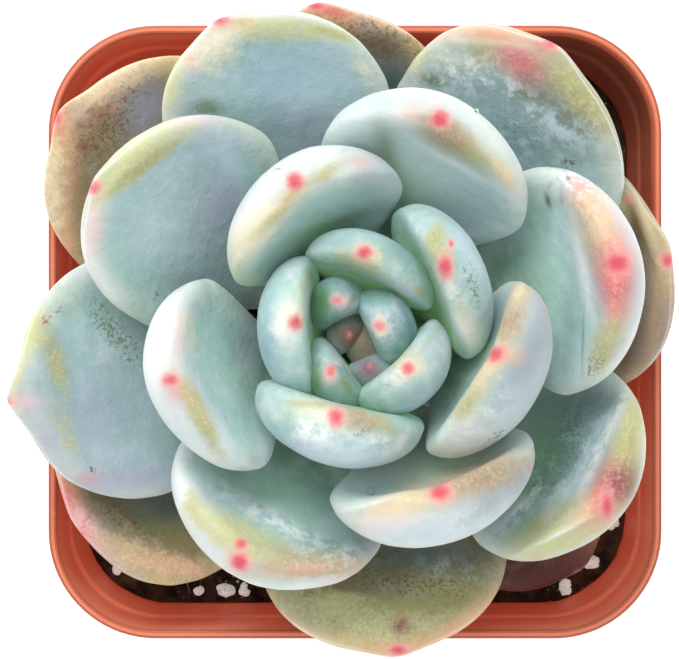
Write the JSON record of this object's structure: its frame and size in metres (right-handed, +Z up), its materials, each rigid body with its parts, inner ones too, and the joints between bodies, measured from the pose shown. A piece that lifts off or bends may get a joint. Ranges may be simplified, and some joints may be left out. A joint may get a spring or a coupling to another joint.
{
  "type": "potted graptoveria rosette",
  "caption": "Fleshy succulent rosette of thick cupped leaves on a short stem, growing in potting mix in a small tapered square plastic pot.",
  "frame": {"origin": "centre of the pot's underside", "axes": "+Z up along the pot, +X and +Y square to the pot's sides; seen from above with +Y away, the longest pointed leaf lies over the -X side"},
  "size_m": [0.0602, 0.0595, 0.074],
  "materials": {
    "pot_plastic": "satin moulded terracotta-coloured plastic",
    "potting_mix": "dark fibrous potting mix with white perlite grains",
    "stem": "matt green-brown stem",
    "leaf_heart": "smooth waxy skin, mint green, with a pink tip",
    "leaf_inner": "smooth waxy skin, mint blue-green, with a pink tip",
    "leaf_middle": "waxy bloom, pale edges, olive patches and a pink tip",
    "leaf_outer": "waxy bloom, cream and olive margins, pink tip",
    "leaf_lowest": "granular bloom, orange-tan and olive with red freckles"
  },
  "bodies": {
    "root": {"pot": "pot_plastic", "soil": "potting_mix", "stem": "stem", "leaf_01": "leaf_heart", "leaf_02": "leaf_heart", "leaf_03": "leaf_heart", "leaf_04": "leaf_heart", "leaf_05": "leaf_heart", "leaf_06": "leaf_inner", "leaf_07": "leaf_inner", "leaf_08": "leaf_inner", "leaf_09": "leaf_inner", "leaf_10": "leaf_inner", "leaf_11": "leaf_middle", "leaf_12": "leaf_middle", "leaf_13": "leaf_middle", "leaf_14": "leaf_middle", "leaf_15": "leaf_middle", "leaf_16": "leaf_middle", "leaf_17": "leaf_middle", "leaf_18": "leaf_middle", "leaf_19": "leaf_outer", "leaf_20": "leaf_outer", "leaf_21": "leaf_outer", "leaf_22": "leaf_outer", "leaf_23": "leaf_lowest", "leaf_24": "leaf_lowest", "leaf_25": "leaf_lowest", "leaf_26": "leaf_lowest", "leaf_27": "leaf_lowest", "leaf_28": "leaf_lowest"}
  },
  "joints": []
}
